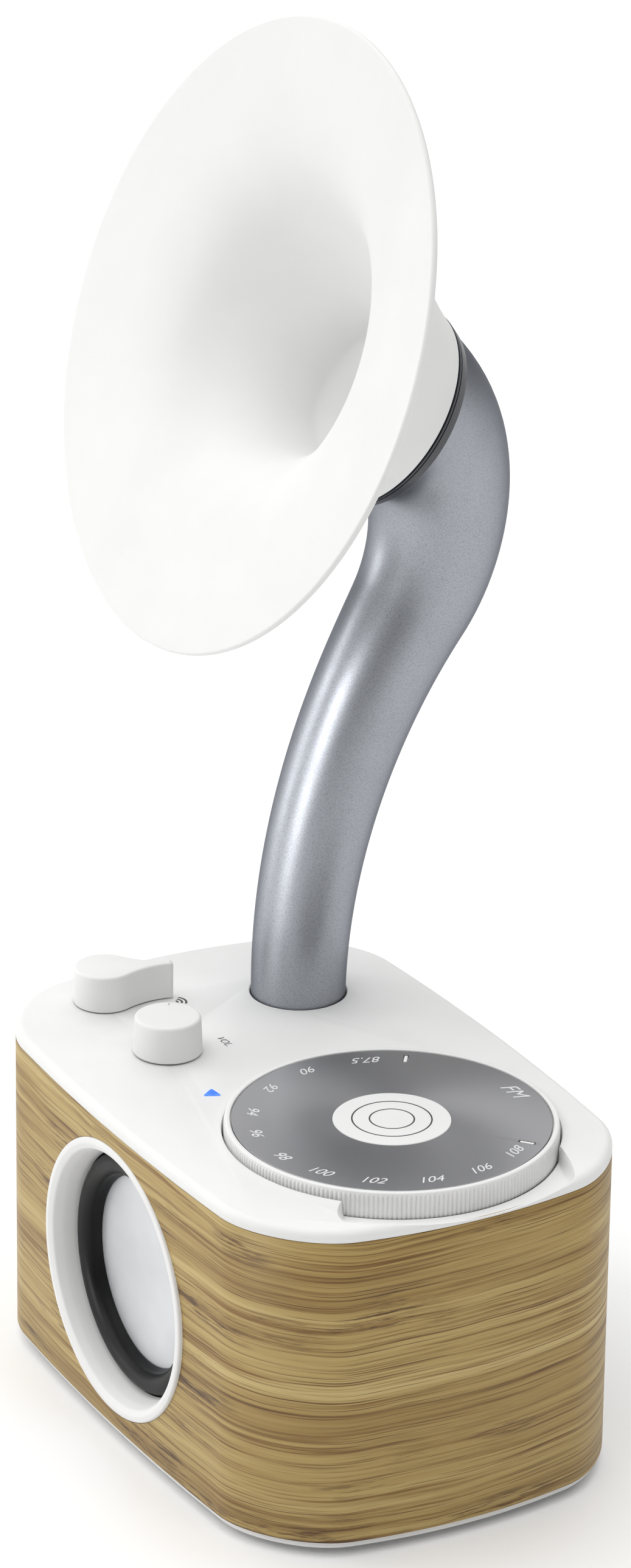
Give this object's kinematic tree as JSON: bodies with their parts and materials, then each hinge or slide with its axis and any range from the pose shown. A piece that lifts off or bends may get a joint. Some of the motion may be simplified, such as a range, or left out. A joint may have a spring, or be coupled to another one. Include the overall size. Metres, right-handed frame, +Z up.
{
  "type": "horn loudspeaker",
  "caption": "Table loudspeaker in retro style: bamboo cabinet with a bass driver in front, turning radio dial and knobs on top, and a flared horn on a curved neck.",
  "frame": {"origin": "on the surface that the feet stand on, below the middle of the cabinet's plan", "axes": "+Z up, front of the cabinet and the horn's mouth face -Y, +X to the right seen from the front"},
  "size_m": [0.2661, 0.1712, 0.4355],
  "materials": {
    "bamboo": "satin lacquer over horizontal bamboo grain",
    "white_shell": "smooth satin white moulding",
    "silver_neck": "soft metallic silver paint",
    "black_ring": "satin black moulding",
    "black_rubber": "soft matt rubber",
    "silver_disc": "fine satin aluminium",
    "dial_grey": "radially brushed dark grey",
    "steel": "zinc plated or turned",
    "brass": "turned brass",
    "ferrite": "sintered ferrite",
    "copper_coil": "enamelled copper winding",
    "black_plastic": "matt moulded plastic",
    "paper_cone": "pressed pulp",
    "spider_cloth": "varnished cotton",
    "circuit_green": "solder mask",
    "nylon": "natural nylon",
    "blue_lens": "lit translucent blue",
    "blue_sleeve": "shrink sleeve",
    "red_lead": "insulated twin wire"
  },
  "bodies": {
    "cabinet": {"wood_sleeve": "bamboo", "top_cover": "white_shell", "base_plate": "white_shell", "feet": "black_rubber", "base_screws": "steel", "cover_screws": "steel", "port_ring": "white_shell", "woofer_gasket": "black_rubber", "woofer_frame": "black_plastic", "woofer_surround": "black_rubber", "woofer_spider": "spider_cloth", "woofer_top_plate": "steel", "woofer_magnet": "ferrite", "woofer_pole": "steel", "woofer_screws": "steel", "rear_panel": "black_plastic", "rear_screws": "steel", "dc_jack": "black_plastic", "aux_jack": "black_plastic", "main_board": "circuit_green", "board_standoffs": "brass", "board_screws": "steel", "amplifier_chip": "black_plastic", "heat_sink": "silver_disc", "board_capacitors": "blue_sleeve", "radio_module": "steel", "tuning_pot": "black_plastic", "volume_pot": "steel", "source_switch": "steel", "control_nuts": "steel", "light_window": "blue_lens", "light_board": "circuit_green", "dial_bush": "brass", "horn_neck": "silver_neck", "neck_lock_ring": "steel", "neck_screws": "steel", "throat_ring": "black_ring", "horn_bell": "white_shell", "horn_driver_frame": "black_plastic", "horn_driver_yoke": "steel", "horn_driver_magnet": "ferrite", "horn_driver_surround": "black_rubber", "horn_driver_screws": "steel", "horn_lead": "red_lead"},
    "dial": {"dial_wheel": "white_shell", "dial_face": "dial_grey", "dial_centre_disc": "white_shell", "dial_spindle": "steel", "dial_clip": "steel", "dial_gear": "nylon"},
    "tuner": {"tuner_gear": "nylon", "tuner_shaft": "steel"},
    "volume_control": {"volume_knob": "white_shell", "volume_shaft": "steel"},
    "source_control": {"source_knob": "white_shell", "source_shaft": "steel"},
    "bass_cone": {"woofer_disc": "silver_disc", "woofer_cone": "paper_cone", "woofer_coil": "copper_coil"},
    "horn_cone": {"horn_driver_cone": "paper_cone"}
  },
  "joints": [
    {"name": "dial_turn", "type": "hinge", "parent": "cabinet", "child": "dial", "pos_m": [0.0444, 0.0052, 0.1121], "axis": [0, 0, 1], "range_deg": [-176, 62]},
    {"name": "tuner_turn", "type": "hinge", "parent": "cabinet", "child": "tuner", "pos_m": [0.0156, 0.0052, 0.094], "axis": [0, 0, 1], "range_deg": [-64, 178]},
    {"name": "volume_turn", "type": "hinge", "parent": "cabinet", "child": "volume_control", "pos_m": [-0.0371, -0.0309, 0.1121], "axis": [0, 0, 1], "range_deg": [-210, 90]},
    {"name": "source_turn", "type": "hinge", "parent": "cabinet", "child": "source_control", "pos_m": [-0.0803, -0.0315, 0.1121], "axis": [0, 0, 1], "range_deg": [-36, 72]},
    {"name": "bass_cone_slide", "type": "slide", "parent": "cabinet", "child": "bass_cone", "axis": [0, -1, 0], "range_m": [-0.002, 0.002], "stiffness_N_per_m": 1500, "deforming": ["woofer_surround", "woofer_spider"]},
    {"name": "horn_cone_slide", "type": "slide", "parent": "cabinet", "child": "horn_cone", "axis": [0, -0.8348, 0.5505], "range_m": [-0.0005, 0.0005], "stiffness_N_per_m": 1500, "deforming": ["horn_driver_surround"]}
  ],
  "couplings": [
    {"joint": "tuner_turn", "follows": "dial_turn", "ratio": -1}
  ]
}
